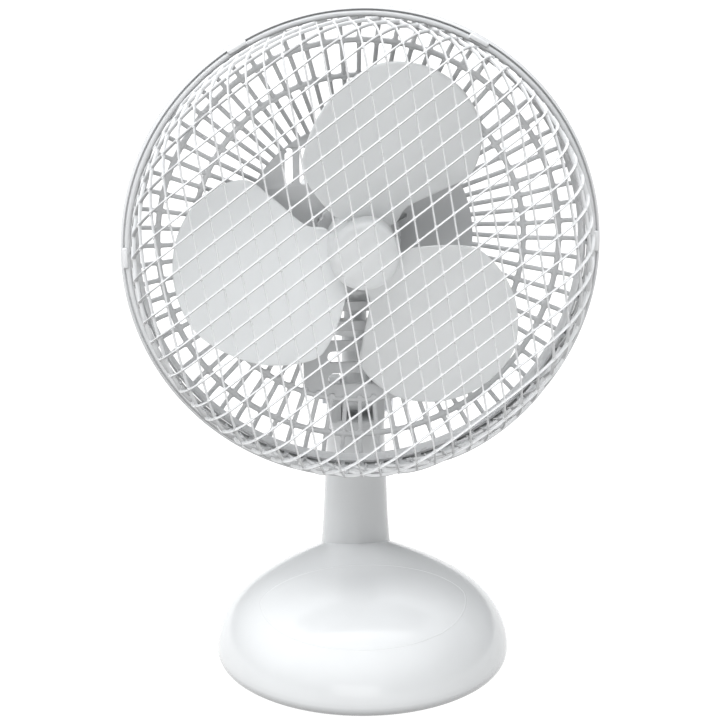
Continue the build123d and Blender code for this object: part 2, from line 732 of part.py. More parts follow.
with BuildPart() as worm:
    with BuildSketch(HEAD_SECTION):
        with Locations((WORM_RADIUS / 2 + 1, WORM_FRONT - 6.5)):
            Rectangle(WORM_RADIUS - 2, 12)
        with Locations((WORM_RADIUS, WORM_FRONT - 6.5)):
            with GridLocations(1, 1.5, 1, 8):
                Rectangle(1, 0.7, mode=Mode.SUBTRACT)
    revolve(axis=HEAD_AXIS)
save(worm.part, "worm")
save(upright_tube(1.5, 0, -7.4, 7.4, z=-12), "drive_pin")

# ---------------------------------------------------------------- impeller
# One blade in its own flat outline: x out from the shaft, y towards the forward edge.
BLADE_MIDDLE = 7.0
blade_outline = [(17, 12), (34, 37), (55, 46), (80, 38), (101, 20), (109, -2), (103, -32),
                 (84, -52), (60, -56), (38, -42), (22, -20)]
blade_pitch = [(12, 34), (50, 25), (112, 16)]


def blade(angle):
    a = math.radians(angle)
    out = head_point(math.cos(a), math.sin(a), 0) - head_origin
    along = head_point(-math.sin(a), math.cos(a), 0) - head_origin
    middle = head_origin + head_forward * BLADE_MIDDLE
    with BuildPart() as slab:
        for reach, pitch in blade_pitch:
            with BuildSketch(Plane(origin=middle + out * reach, x_dir=along, z_dir=out)):
                Rectangle(160, BLADE_THICK, rotation=pitch)
        loft()
    with BuildPart() as outline:
        with BuildSketch(Plane(origin=middle, x_dir=out, z_dir=head_forward)):
            with BuildLine():
                Spline(*blade_outline, periodic=True)
            make_face()
            Circle(HUB_RADIUS - 1.5, mode=Mode.SUBTRACT)
        extrude(amount=60, both=True)
    return slab.part & outline.part


hub_wall = 2.4
with BuildPart() as impeller:
    for index in range(BLADES):
        add(blade(BLADE_AXIS_ANGLE + index * 360 / BLADES))
    with BuildSketch(HEAD.offset(HUB_BACK)):
        Circle(HUB_RADIUS)
        Circle(HUB_RADIUS - hub_wall, mode=Mode.SUBTRACT)
    extrude(amount=HUB_FRONT - HUB_BACK)
    with BuildSketch(HEAD.offset(HUB_FRONT - hub_wall)):
        Circle(HUB_RADIUS)
    extrude(amount=hub_wall)
    with BuildSketch(HEAD.offset(HUB_BACK + 2)):
        Circle(9)
        with PolarLocations(12, 6):
            Rectangle(14, 1.6)
    extrude(amount=HUB_FRONT - HUB_BACK - 3)
    with BuildSketch(HEAD.offset(HUB_BACK)):
        Circle(SHAFT_RADIUS)
    extrude(amount=60, mode=Mode.SUBTRACT)
    # slot that the drive pin seats in
    with BuildSketch(HEAD.offset(HUB_BACK)):
        Rectangle(3, 15)
    extrude(amount=5.5, mode=Mode.SUBTRACT)
save(impeller.part, "impeller")

with BuildPart() as spinner_cap:
    with BuildSketch(HEAD.offset(HUB_FRONT)):
        Circle(HUB_RADIUS)
    extrude(amount=CAP_FRONT - HUB_FRONT)
    fillet(spinner_cap.edges().sort_by(Axis.Y)[0], radius=4)
    with BuildSketch(HEAD.offset(HUB_FRONT)):
        Circle(SHAFT_RADIUS)
    extrude(amount=CAP_FRONT - 2 - HUB_FRONT, mode=Mode.SUBTRACT)
save(spinner_cap.part, "spinner_cap")

# ---------------------------------------------------------------- rear guard
guard_front = [(COLLAR_RADIUS, DISC_FACE), (DISC_RADIUS, DISC_FACE), (INNER_RING_RADIUS, INNER_RING_FACE),
               (OUTER_RING_RADIUS, GUARD_BACK)]
GUARD_CORNER = 10.0
SLOT_ROWS = 5  # long slots below the motor nose
SLOT_PITCH = 12.0
SLOT_HEIGHT = 6.1
SLOT_LENGTH = 37.0
SLOT_MIDDLE = -60.5
wall_inner = RIM_RADIUS - RIM_THICK - GUARD_THICK
with BuildPart() as rear_guard:
    with BuildSketch(HEAD_SECTION):
        with BuildLine():
            Polyline(*guard_front, (wall_inner - GUARD_CORNER, GUARD_BACK))
            RadiusArc((wall_inner - GUARD_CORNER, GUARD_BACK), (wall_inner, GUARD_BACK + GUARD_CORNER), -GUARD_CORNER)
            Line((wall_inner, GUARD_BACK + GUARD_CORNER), (wall_inner, 0))
            Line((wall_inner, 0), (wall_inner + GUARD_THICK, 0))
            Line((wall_inner + GUARD_THICK, 0), (wall_inner + GUARD_THICK, GUARD_BACK + GUARD_CORNER))
            RadiusArc(
                (wall_inner + GUARD_THICK, GUARD_BACK + GUARD_CORNER),
                (wall_inner - GUARD_CORNER, GUARD_BACK - GUARD_THICK),
                GUARD_CORNER + GUARD_THICK,
            )
            Polyline(
                (wall_inner - GUARD_CORNER, GUARD_BACK - GUARD_THICK),
                *[(r, z - GUARD_THICK) for r, z in reversed(guard_front)],
            )
            Line((COLLAR_RADIUS, DISC_FACE - GUARD_THICK), (COLLAR_RADIUS, DISC_FACE))
        make_face()
    revolve(axis=HEAD_AXIS)
    # openings between the ribs and rings, left solid in the plate below the disc
    with BuildSketch(HEAD.offset(-45)):
        for inner, outer in ((DISC_RADIUS + 1, INNER_RING_RADIUS - 1.5), (INNER_RING_RADIUS + 1.5, OUTER_RING_RADIUS - 1.6),
                             (OUTER_RING_RADIUS + 1.6, RIM_RADIUS + 5)):
            with BuildSketch(mode=Mode.ADD):
                Circle(outer)
                Circle(inner, mode=Mode.SUBTRACT)
        with PolarLocations(0, GUARD_RIBS // 2, angular_range=180):
            Rectangle(2 * RIM_RADIUS + 20, RIB_WIDTH, mode=Mode.SUBTRACT)
        with Locations((-1, -(DISC_RADIUS + INNER_RING_RADIUS) / 2)):
            Rectangle(68, INNER_RING_RADIUS - DISC_RADIUS + 12, mode=Mode.SUBTRACT)
    extrude(amount=40, mode=Mode.SUBTRACT)
    # long slots in the disc
    with BuildSketch(HEAD.offset(-45)):
        with Locations((0, SLOT_MIDDLE)):
            with GridLocations(1, SLOT_PITCH, 1, SLOT_ROWS):
                SlotOverall(SLOT_LENGTH, SLOT_HEIGHT)
        with Locations((-35.7, 42)):
            with GridLocations(8.6, 1, 2, 1):
                SlotOverall(22, 4.7, rotation=90)
    extrude(amount=40, mode=Mode.SUBTRACT)
save(rear_guard.part, "rear_guard")

with BuildPart() as guard_nut:
    with BuildSketch(HEAD.offset(DISC_FACE)):
        Circle(25)
        Circle(COLLAR_RADIUS, mode=Mode.SUBTRACT)
        with PolarLocations(26, 24):
            Circle(1.7, mode=Mode.SUBTRACT)
    extrude(amount=7)
save(guard_nut.part, "guard_nut")

# ---------------------------------------------------------------- front grille
shallow = Vector(math.cos(math.radians(MESH_SHALLOW_ANGLE)), math.sin(math.radians(MESH_SHALLOW_ANGLE)), 0)
steep = Vector(math.cos(math.radians(MESH_STEEP_ANGLE)), math.sin(math.radians(MESH_STEEP_ANGLE)), 0)
mesh_sine = math.sin(math.radians(MESH_STEEP_ANGLE - MESH_SHALLOW_ANGLE))
# half sides of one opening, once the wires' width is taken off
half_short = (MESH_SHORT_STEP - MESH_WIRE / mesh_sine) / 2
half_long = (MESH_LONG_STEP - MESH_WIRE / mesh_sine) / 2
corners = [shallow * a * half_short + steep * b * half_long for a, b in ((-1, -1), (1, -1), (1, 1), (-1, 1))]
opening = [(c.X, c.Y) for c in corners]
MESH_NODE = Vector(-10.6, 40.6, 0)  # one wire crossing, from the fan axis
MESH_SPAN = 24


def mesh_openings(inner, outer):
    """Centres of the openings whose middles lie between two radii."""
    middle = MESH_NODE + (shallow * MESH_SHORT_STEP + steep * MESH_LONG_STEP) / 2
    spots = []
    for row in range(-MESH_SPAN, MESH_SPAN):
        for column in range(-MESH_SPAN, MESH_SPAN):
            spot = middle + shallow * MESH_SHORT_STEP * row + steep * MESH_LONG_STEP * column
            if inner < spot.length < outer:
                spots.append((spot.X, spot.Y))
    return spots


reach = MESH_LONG_STEP
with BuildPart() as front_grille_face:
    with BuildSketch(HEAD.offset(GRILLE_FACE - GRILLE_THICK)):
        Circle(GRILLE_FLAT_RADIUS)
        with Locations(*mesh_openings(0, GRILLE_FLAT_RADIUS + reach)):
            Polygon(*opening, align=None, mode=Mode.SUBTRACT)
    extrude(amount=GRILLE_THICK)
save(front_grille_face.part, "front_grille_face")

corner = GRILLE_WALL_RADIUS - GRILLE_FLAT_RADIUS
RING_TOP = 6.0
with BuildPart() as wall_cutter:
    with BuildSketch(HEAD.offset(RING_TOP)):
        with Locations(*mesh_openings(GRILLE_FLAT_RADIUS - reach, RIM_RADIUS + reach)):
            Polygon(*opening, align=None)
        Circle(RIM_RADIUS - 2, mode=Mode.INTERSECT)
        Circle(GRILLE_FLAT_RADIUS - 1, mode=Mode.SUBTRACT)
    extrude(amount=GRILLE_FACE)
with BuildPart() as front_grille_wall:
    with BuildSketch(HEAD_SECTION):
        with BuildLine():
            RadiusArc((GRILLE_FLAT_RADIUS, GRILLE_FACE), (GRILLE_WALL_RADIUS, GRILLE_FACE - corner), corner)
            Polyline(
                (GRILLE_WALL_RADIUS, GRILLE_FACE - corner),
                (RIM_RADIUS - RIM_THICK, 0),
                (RIM_RADIUS - RIM_THICK - GRILLE_THICK, 0),
                (GRILLE_WALL_RADIUS - GRILLE_THICK, GRILLE_FACE - corner),
            )
            RadiusArc(
                (GRILLE_WALL_RADIUS - GRILLE_THICK, GRILLE_FACE - corner),
                (GRILLE_FLAT_RADIUS, GRILLE_FACE - GRILLE_THICK),
                -(corner - GRILLE_THICK),
            )
            Line((GRILLE_FLAT_RADIUS, GRILLE_FACE - GRILLE_THICK), (GRILLE_FLAT_RADIUS, GRILLE_FACE))
        make_face()
    revolve(axis=HEAD_AXIS)
    add(wall_cutter.part, mode=Mode.SUBTRACT)
save(front_grille_wall.part, "front_grille_wall")

with BuildPart() as guard_rim:
    with BuildSketch(HEAD_SECTION):
        with Locations((RIM_RADIUS - RIM_THICK / 2, 0)):
            RectangleRounded(RIM_THICK, RIM_DEPTH, 2)
    revolve(axis=HEAD_AXIS)
save(guard_rim.part, "guard_rim")

with BuildPart() as guard_clips:
    for index in range(6):
        a = 1 + 60 * index
        with BuildSketch(HEAD.offset(RIM_DEPTH / 2)):
            with PolarLocations(RIM_RADIUS - RIM_THICK / 2, 1, start_angle=a):
                Rectangle(2.6, 12)
        extrude(amount=1.2)
save(guard_clips.part, "guard_clips")
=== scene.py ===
import bpy, bmesh, math, json
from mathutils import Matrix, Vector

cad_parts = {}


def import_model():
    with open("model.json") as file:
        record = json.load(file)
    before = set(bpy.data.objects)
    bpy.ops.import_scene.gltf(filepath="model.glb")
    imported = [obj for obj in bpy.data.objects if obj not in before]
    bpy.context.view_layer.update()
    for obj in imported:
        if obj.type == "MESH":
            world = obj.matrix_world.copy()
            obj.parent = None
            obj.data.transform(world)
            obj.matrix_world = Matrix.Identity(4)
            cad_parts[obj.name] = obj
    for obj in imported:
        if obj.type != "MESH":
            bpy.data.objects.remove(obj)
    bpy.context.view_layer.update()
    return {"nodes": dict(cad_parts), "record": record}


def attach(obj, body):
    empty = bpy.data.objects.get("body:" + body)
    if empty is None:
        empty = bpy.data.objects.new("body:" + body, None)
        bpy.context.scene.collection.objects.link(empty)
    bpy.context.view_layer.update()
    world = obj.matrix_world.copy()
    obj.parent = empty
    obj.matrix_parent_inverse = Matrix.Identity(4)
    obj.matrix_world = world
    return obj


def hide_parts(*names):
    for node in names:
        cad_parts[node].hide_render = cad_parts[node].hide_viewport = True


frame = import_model()

# ------------------------------------------------------------ frames, in millimetres
MM = 0.001
TILT = math.radians(2)
UP = Vector((0, math.sin(TILT), math.cos(TILT)))
FORWARD = Vector((0, -math.cos(TILT), math.sin(TILT)))
RIGHT = Vector((1, 0, 0))
PIVOT = Vector((0, 52, 150))
AXIS_RISE = 102.3
RIM_FORWARD = 50.4
HEAD = PIVOT + UP * AXIS_RISE + FORWARD * RIM_FORWARD


def head(p):
    """A point of the head's frame (x right, y up, z forward), in the shared frame and in metres."""
    return (HEAD + RIGHT * p[0] + UP * p[1] + FORWARD * p[2]) * MM


def world(p):
    """A point of the shared frame, in metres."""
    return Vector(p) * MM


class Shape:
    """Collects vertices and faces of one piece."""

    def __init__(self):
        self.verts = []
        self.faces = []

    def add(self, verts, faces):
        start = len(self.verts)
        self.verts += [Vector(v) for v in verts]
        self.faces += [[start + i for i in f] for f in faces]

    def rings(self, rings, closed_ring=True, closed_path=False):
        """Skins a list of equal rings of points."""
        count = len(rings[0])
        verts = [p for ring in rings for p in ring]
        faces = []
        steps = len(rings) if closed_path else len(rings) - 1
        across = count if closed_ring else count - 1
        for i in range(steps):
            a, b = i * count, ((i + 1) % len(rings)) * count
            for j in range(across):
                k = (j + 1) % count
                faces.append([a + j, a + k, b + k, b + j])
        if closed_ring and not closed_path:
            faces.append(list(range(count))[::-1])
            faces.append([(len(rings) - 1) * count + j for j in range(count)])
        self.add(verts, faces)

    def build(self, name, mat, body, slot, place=head, replaces=(), sharp=40):
        """Makes the piece, gives it its look and ties it to its body."""
        mesh = bpy.data.meshes.new(name)
        mesh.from_pydata([place(v) for v in self.verts], [], self.faces)
        mesh.validate()
        bm = bmesh.new()
        bm.from_mesh(mesh)
        bmesh.ops.remove_doubles(bm, verts=bm.verts, dist=1e-6)
        bmesh.ops.recalc_face_normals(bm, faces=bm.faces)
        bm.to_mesh(mesh)
        bm.free()
        for p in mesh.polygons:
            p.use_smooth = True
        mesh.set_sharp_from_angle(angle=math.radians(sharp))
        mesh.materials.append(mat)
        obj = bpy.data.objects.new(name, mesh)
        bpy.context.collection.objects.link(obj)
        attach(obj, body)
        if replaces:
            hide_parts(*replaces)
        return obj


def revolve(shape, profile, segments, closed=False, centre=(0, 0)):
    """Turns (radius, z) round the z axis of whichever frame the shape is placed in."""
    cx, cy = centre
    rings = []
    for i in range(segments):
        a = 2 * math.pi * i / segments
        rings.append([(cx + r * math.cos(a), cy + r * math.sin(a), z) for r, z in profile])
    shape.rings(rings, closed_ring=closed, closed_path=True)


def rounded(width, depth, radius, steps=3):
    """A rounded rectangle about the origin, as (s, h) points."""
    out = []
    for sx, sy, a0 in ((1, 1, 0), (-1, 1, 90), (-1, -1, 180), (1, -1, 270)):
        for i in range(steps + 1):
            a = math.radians(a0 + 90 * i / steps)
            out.append((sx * (width / 2 - radius) + radius * math.cos(a),
                        sy * (depth / 2 - radius) + radius * math.sin(a)))
    return out


def sweep(shape, path, normals, section, closed=False):
    """Carries a section (s across, h along the normal) along a path."""
    rings = []
    n = len(path)
    for i, (p, normal) in enumerate(zip(path, normals)):
        a = path[(i - 1) % n] if closed else path[max(i - 1, 0)]
        b = path[(i + 1) % n] if closed else path[min(i + 1, n - 1)]
        tangent = (Vector(b) - Vector(a)).normalized()
        normal = (Vector(normal) - tangent * tangent.dot(Vector(normal))).normalized()
        across = tangent.cross(normal)
        rings.append([Vector(p) + across * s + normal * h for s, h in section])
    shape.rings(rings, closed_path=closed)


# ------------------------------------------------------------ materials
def plastic(name, color, rough, coat=0.0, grain=2600, bump=0.12, wear=0.04, subsurface=0.0,
            gloss=0.5, underside_shade=1.0):
    """Moulded plastic: fine grain, cloudy gloss, faint tone drift, polished edges and painted shade on faces
    that look down.
    """
    mat = bpy.data.materials.new(name)
    mat.use_nodes = True
    nodes, links = mat.node_tree.nodes, mat.node_tree.links
    shader = nodes["Principled BSDF"]
    coords = nodes.new("ShaderNodeTexCoord")

    def noise(scale, detail):
        n = nodes.new("ShaderNodeTexNoise")
        n.inputs["Scale"].default_value = scale
        n.inputs["Detail"].default_value = detail
        links.new(coords.outputs["Object"], n.inputs["Vector"])
        return n

    def span(source, low, high, start=0.3, end=0.7):
        m = nodes.new("ShaderNodeMapRange")
        m.inputs["From Min"].default_value = start
        m.inputs["From Max"].default_value = end
        m.inputs["To Min"].default_value = low
        m.inputs["To Max"].default_value = high
        links.new(source, m.inputs["Value"])
        return m.outputs["Result"]

    cloud = noise(28, 4)
    scuff = noise(160, 5)
    grainy = noise(grain, 2)
    tone = nodes.new("ShaderNodeMix")
    tone.data_type = "RGBA"
    links.new(span(cloud.outputs["Fac"], 0, 1), tone.inputs["Factor"])
    tone.inputs[6].default_value = (*[c * 0.975 for c in color], 1)
    tone.inputs[7].default_value = (*[min(1, c * 1.015) for c in color], 1)
    geometry = nodes.new("ShaderNodeNewGeometry")
    worn = nodes.new("ShaderNodeMix")
    worn.data_type = "RGBA"
    links.new(span(geometry.outputs["Pointiness"], 0, wear * 6, 0.52, 0.62), worn.inputs["Factor"])
    links.new(tone.outputs[2], worn.inputs[6])
    worn.inputs[7].default_value = (*[min(1, c * 1.08 + 0.02) for c in color], 1)
    # painted shade: the base colour is darkened on faces that look down, standing in for the shade that falls
    # under the parts
    height = nodes.new("ShaderNodeSeparateXYZ")
    links.new(geometry.outputs["Normal"], height.inputs["Vector"])
    shade = nodes.new("ShaderNodeVectorMath")
    shade.operation = "SCALE"
    links.new(worn.outputs[2], shade.inputs[0])
    links.new(span(height.outputs["Z"], underside_shade, 1.0, -0.6, 0.1), shade.inputs["Scale"])
    links.new(shade.outputs["Vector"], shader.inputs["Base Color"])
    links.new(span(scuff.outputs["Fac"], rough * 0.85, rough * 1.2), shader.inputs["Roughness"])
    fine = nodes.new("ShaderNodeBump")
    fine.inputs["Strength"].default_value = bump
    fine.inputs["Distance"].default_value = 0.00008
    links.new(grainy.outputs["Fac"], fine.inputs["Height"])
    broad = nodes.new("ShaderNodeBump")
    broad.inputs["Strength"].default_value = bump * 0.5
    broad.inputs["Distance"].default_value = 0.0006
    links.new(cloud.outputs["Fac"], broad.inputs["Height"])
    links.new(fine.outputs["Normal"], broad.inputs["Normal"])
    links.new(broad.outputs["Normal"], shader.inputs["Normal"])
    shader.inputs["IOR"].default_value = 1.49
    shader.inputs["Specular IOR Level"].default_value = gloss
    shader.inputs["Coat Weight"].default_value = coat
    shader.inputs["Coat Roughness"].default_value = 0.06
    if subsurface:
        shader.inputs["Subsurface Weight"].default_value = subsurface
        shader.inputs["Subsurface Radius"].default_value = (0.006, 0.006, 0.006)
    return mat


def metal(name, color, rough, grain=900, stretch=(1, 1, 14)):
    """Metal with a drawn or cast grain and stained, uneven gloss."""
    mat = bpy.data.materials.new(name)
    mat.use_nodes = True
    nodes, links = mat.node_tree.nodes, mat.node_tree.links
    shader = nodes["Principled BSDF"]
    shader.inputs["Metallic"].default_value = 1.0
    coords = nodes.new("ShaderNodeTexCoord")
    mapping = nodes.new("ShaderNodeMapping")
    mapping.inputs["Scale"].default_value = stretch
    links.new(coords.outputs["Object"], mapping.inputs["Vector"])
    lines = nodes.new("ShaderNodeTexNoise")
    lines.inputs["Scale"].default_value = grain
    lines.inputs["Detail"].default_value = 3
    links.new(mapping.outputs["Vector"], lines.inputs["Vector"])
    stain = nodes.new("ShaderNodeTexNoise")
    stain.inputs["Scale"].default_value = 90
    stain.inputs["Detail"].default_value = 5
    links.new(coords.outputs["Object"], stain.inputs["Vector"])
    tone = nodes.new("ShaderNodeMix")
    tone.data_type = "RGBA"
    links.new(stain.outputs["Fac"], tone.inputs["Factor"])
    tone.inputs[6].default_value = (*[c * 0.82 for c in color], 1)
    tone.inputs[7].default_value = (*[min(1, c * 1.1) for c in color], 1)
    links.new(tone.outputs[2], shader.inputs["Base Color"])
    spread = nodes.new("ShaderNodeMapRange")
    spread.inputs["To Min"].default_value = rough * 0.75
    spread.inputs["To Max"].default_value = rough * 1.3
    links.new(lines.outputs["Fac"], spread.inputs["Value"])
    links.new(spread.outputs["Result"], shader.inputs["Roughness"])
    bump = nodes.new("ShaderNodeBump")
    bump.inputs["Strength"].default_value = 0.25
    bump.inputs["Distance"].default_value = 0.0001
    links.new(lines.outputs["Fac"], bump.inputs["Height"])
    links.new(bump.outputs["Normal"], shader.inputs["Normal"])
    return mat


finish = {
    # shell_white and guard_white carry painted shade: their base colour is darkened on faces that look down
    "shell_white": plastic("shell_white", (0.585, 0.593, 0.597), 0.20, coat=0.2, bump=0.05,
                           gloss=0.35, underside_shade=0.45),
    "guard_white": plastic("guard_white", (0.72, 0.725, 0.73), 0.30, coat=0.1, bump=0.10,
                           gloss=0.4, underside_shade=0.40),
    "blade_white": plastic("blade_white", (0.67, 0.68, 0.682), 0.34, coat=0.15, bump=0.12, subsurface=0.1),
    "motor_white": plastic("motor_white", (0.60, 0.61, 0.615), 0.30, coat=0.3, bump=0.15),
    "knob_plastic": plastic("knob_plastic", (0.64, 0.65, 0.655), 0.26, coat=0.4, bump=0.10),
    "dark_plastic": plastic("dark_plastic", (0.035, 0.035, 0.04), 0.5, grain=1500, bump=0.35, wear=0.02),
    "foot_rubber": plastic("foot_rubber", (0.03, 0.03, 0.03), 0.75, grain=1200, bump=0.5, wear=0.01),
    "gear_plastic": plastic("gear_plastic", (0.74, 0.72, 0.66), 0.38, bump=0.15, subsurface=0.15),
    "bright_steel": metal("bright_steel", (0.62, 0.63, 0.65), 0.28),
    "core_steel": metal("core_steel", (0.36, 0.37, 0.39), 0.42, grain=500, stretch=(1, 30, 1)),
    "coil_copper": metal("coil_copper", (0.55, 0.24, 0.11), 0.34, grain=700, stretch=(1, 1, 10)),
    "bearing_bronze": metal("bearing_bronze", (0.52, 0.38, 0.20), 0.38, grain=1400, stretch=(1, 1, 1)),
    "ballast_iron": metal("ballast_iron", (0.10, 0.10, 0.105), 0.62, grain=700, stretch=(1, 1, 1)),
}
slots = {row["node"]: row["material_slot"] for row in frame["record"]["subparts"]}
for node, obj in frame["nodes"].items():
    obj.data.materials.clear()
    obj.data.materials.append(finish[slots[node]])
white = finish["guard_white"]
# painted shade: the rear guard is a darker copy of the guard's white plastic, standing in for the shade cast
# by the blades and grille in front of it, and it is darker again on faces that look down
rear_shaded_white = plastic("rear_shaded_white", (0.56, 0.565, 0.57), 0.34, bump=0.10, gloss=0.35, underside_shade=0.6)
# painted shade: the rim is a darker copy of the guard's white plastic, and it is darker again on faces that
# look down
rim_shaded_white = plastic("rim_shaded_white", (0.64, 0.645, 0.65), 0.30, coat=0.1, bump=0.08, gloss=0.35,
                    underside_shade=0.5)

# ------------------------------------------------------------ front grille
FACE = 43.0  # how far the grille's face stands ahead of the rim
FLAT = 110.0  # radius of the flat part of the face
WALL = 131.0
CORNER = WALL - FLAT
RIM_INNER = 132.4
WALL_END = 1.5
SHALLOW = math.radians(37.3)  # the two directions of the lattice
STEEP = math.radians(99.9)
LONG_STEP = 13.1  # distances between crossings along each direction
SHORT_STEP = 12.4
NODE = Vector((-10.6, 40.6))  # one crossing that the lattice is laid out from
CORNER_RUN = CORNER * math.pi / 2
WALL_RUN = FACE - CORNER - WALL_END
EDGE_RUN = FLAT + CORNER_RUN + WALL_RUN
LAST_WIRE = EDGE_RUN - 4
WIRE_SPAN = 26
NODE_WIDTHS = (0.52, 0.50)
NODE_REACH = 1.0
NODE_TOP, NODE_LOW = -0.22, -2.0


def surface(x, y):
    """Drapes a point of the flat lattice over the face, the corner and the wall."""
    run = math.hypot(x, y)
    if run <= FLAT:
        return Vector((x, y, FACE)), Vector((0, 0, 1))
    ux, uy = x / run, y / run
    t = min((run - FLAT) / CORNER, math.pi / 2)
    r = FLAT + CORNER * math.sin(t)
    z = FACE - CORNER + CORNER * math.cos(t)
    down = max(0.0, run - FLAT - CORNER_RUN)
    r += (RIM_INNER - WALL) * down / WALL_RUN
    return Vector((ux * r, uy * r, z - down)), Vector((ux * math.sin(t), uy * math.sin(t), math.cos(t)))


def wire_path(angle, offset):
    """One wire: across the face, round the corner and down the wall at both ends."""
    along = Vector((math.cos(angle), math.sin(angle)))
    aside = Vector((-math.sin(angle), math.cos(angle)))
    end = math.sqrt(EDGE_RUN ** 2 - offset ** 2)
    straight = math.sqrt(max(FLAT ** 2 - offset ** 2, 0.0))
    bent = [straight + (end - straight) * i / 22 for i in range(23)]
    flat_part = [straight * i / 4 for i in (3, 2, 1)] if straight else []
    half = sorted(set([round(v, 5) for v in bent + flat_part]))
    stations = [-v for v in half[::-1] if v > 0.01] + [0.0] + [v for v in half if v > 0.01]
    points, normals = [], []
    for t in stations:
        flat = along * t + aside * offset
        point, normal = surface(flat.x, flat.y)
        points.append(point)
        normals.append(normal)
    return points, normals


RIDGE = [(-0.42, -2.0), (-0.58, -1.2), (-0.56, -0.7), (-0.34, -0.2), (0, 0), (0.34, -0.2), (0.56, -0.7),
         (0.58, -1.2), (0.42, -2.0), (0, -2.2)]
LOWER = [(s * 0.95, h - 0.4) for s, h in RIDGE]

grille = Shape()
for angle, other, step, section in ((SHALLOW, STEEP, LONG_STEP, RIDGE), (STEEP, SHALLOW, SHORT_STEP, LOWER)):
    aside = Vector((-math.sin(angle), math.cos(angle)))
    pitch = step * abs(math.sin(other - angle))
    base = NODE.dot(aside)
    for k in range(-WIRE_SPAN, WIRE_SPAN + 1):
        offset = base + k * pitch
        if abs(offset) < LAST_WIRE:
            points, normals = wire_path(angle, offset)
            sweep(grille, points, normals, section)


def star(centre, dirs, half_widths, reach, place_on, top, low, shape):
    """A small web with filleted corners where two wires cross."""
    outline = []
    order = [(dirs[0], dirs[1]), (dirs[1], -dirs[0]), (-dirs[0], -dirs[1]), (-dirs[1], dirs[0])]
    widths = [(half_widths[0], half_widths[1]), (half_widths[1], half_widths[0])] * 2
    for (u, v), (wu, wv) in zip(order, widths):
        sine = abs(u.x * v.y - u.y * v.x)
        corner = u * (wv / sine) + v * (wu / sine)
        for i in range(5):
            t = i / 4
            a, b = corner + u * reach, corner + v * reach
            outline.append(a * (1 - t) ** 2 + corner * 2 * t * (1 - t) + b * t * t)
    rings = []
    for scale, h in ((1.0, low), (1.0, top - 0.45), (0.9, top - 0.1), (0.72, top)):
        ring = []
        for p in outline:
            spot, normal = place_on(centre + p * scale)
            ring.append(spot + normal * h)
        rings.append(ring)
    shape.rings(rings)


lattice = (Vector((math.cos(SHALLOW), math.sin(SHALLOW))), Vector((math.cos(STEEP), math.sin(STEEP))))
for i in range(-WIRE_SPAN, WIRE_SPAN + 1):
    for j in range(-WIRE_SPAN, WIRE_SPAN + 1):
        spot = NODE + lattice[0] * SHORT_STEP * i + lattice[1] * LONG_STEP * j
        if spot.length < LAST_WIRE:
            star(spot, lattice, NODE_WIDTHS, NODE_REACH, lambda p: surface(p.x, p.y), NODE_TOP, NODE_LOW,
                 grille)
grille.build("front_grille", white, "head", "guard_white",
             replaces=("front_grille_face", "front_grille_wall"), sharp=50)

# ------------------------------------------------------------ rim and clips
rim_profile = [(131.6, -6.2), (131.6, 5.0), (131.9, 5.9), (132.8, 6.5), (134.3, 6.45), (134.75, 6.1),
               (134.9, 5.3), (135.2, 4.7), (135.5, 4.9), (135.65, 5.5), (136.1, 5.85), (136.7, 5.6),
               (137.2, 4.8), (137.5, 3.4), (137.5, 0.7), (137.15, 0.35), (137.15, -0.35), (137.5, -0.7),
               (137.5, -4.2), (137.1, -5.6), (136.2, -6.35), (134, -6.5), (133, -6.45)]
rim = Shape()
revolve(rim, rim_profile, 360, closed=True)
rim.build("guard_rim_ring", rim_shaded_white, "head", "guard_white", replaces=("guard_rim",), sharp=60)

CLIPS = 6
CLIP_TURN = 1
CLIP_RADIUS = 134.6
CLIP_LENGTH, CLIP_WIDTH, CLIP_CORNER = 12, 3.0, 0.7
clips = Shape()
for index in range(CLIPS):
    a = math.radians(CLIP_TURN + 360 / CLIPS * index)
    out = Vector((math.cos(a), math.sin(a), 0))
    round_way = Vector((-math.sin(a), math.cos(a), 0))
    rings = []
    for grow, z in ((0.0, 5.0), (0.0, 7.1), (-0.3, 7.55), (-0.8, 7.7)):
        ring = []
        for s, h in rounded(CLIP_LENGTH + 2 * grow, CLIP_WIDTH + 2 * grow, CLIP_CORNER + grow * 0.2):
            ring.append(out * (CLIP_RADIUS + h) + round_way * s + Vector((0, 0, z)))
        rings.append(ring)
    clips.rings(rings)
clips.build("rim_clips", white, "head", "guard_white", replaces=("guard_clips",), sharp=40)

# ------------------------------------------------------------ rear guard
DISC = 65.0
DISC_FACE = -31
DISC_THICK = 2.4
DISC_LIP = 3.0  # the disc covers the inner ends of the ribs
INNER = 96.5
OUTER = 116.8
INNER_FACE = -17.0
OUTER_FACE = -14.0
BACK_CORNER = 10.0
RIBS = 72
RIB_TURN = 360 // RIBS
RIB_WIDTH, RIB_DEPTH = 2.5, 2.4
PLATE_HALF = 33.0  # half width of the slotted plate below the disc
HIDDEN_REACH = 80
CENTRE_HOLE = 16.5
back_wall = RIM_INNER - DISC_THICK
corner_start = back_wall - BACK_CORNER
guard_line = [(DISC, DISC_FACE), (INNER, INNER_FACE), (OUTER, OUTER_FACE), (corner_start, OUTER_FACE)]


def guard_stations(first):
    """(radius, z, radial normal, forward normal) along a rib's front face."""
    out = []
    for (r0, z0), (r1, z1) in zip(guard_line, guard_line[1:]):
        if r1 <= first:
            continue
        slope = Vector((r1 - r0, z1 - z0)).normalized()
        for i in range(4):
            k = i / 4
            r = r0 + (r1 - r0) * k
            if r >= first - 0.01:
                out.append((r, z0 + (z1 - z0) * k, -slope.y, slope.x))
    for i in range(9):
        t = math.pi / 2 * i / 8
        out.append((corner_start + BACK_CORNER * math.sin(t), OUTER_FACE + BACK_CORNER * (1 - math.cos(t)),
                    -math.sin(t), math.cos(t)))
    for z in (-2.5, -0.5):
        out.append((back_wall, z, -1.0, 0.0))
    return out


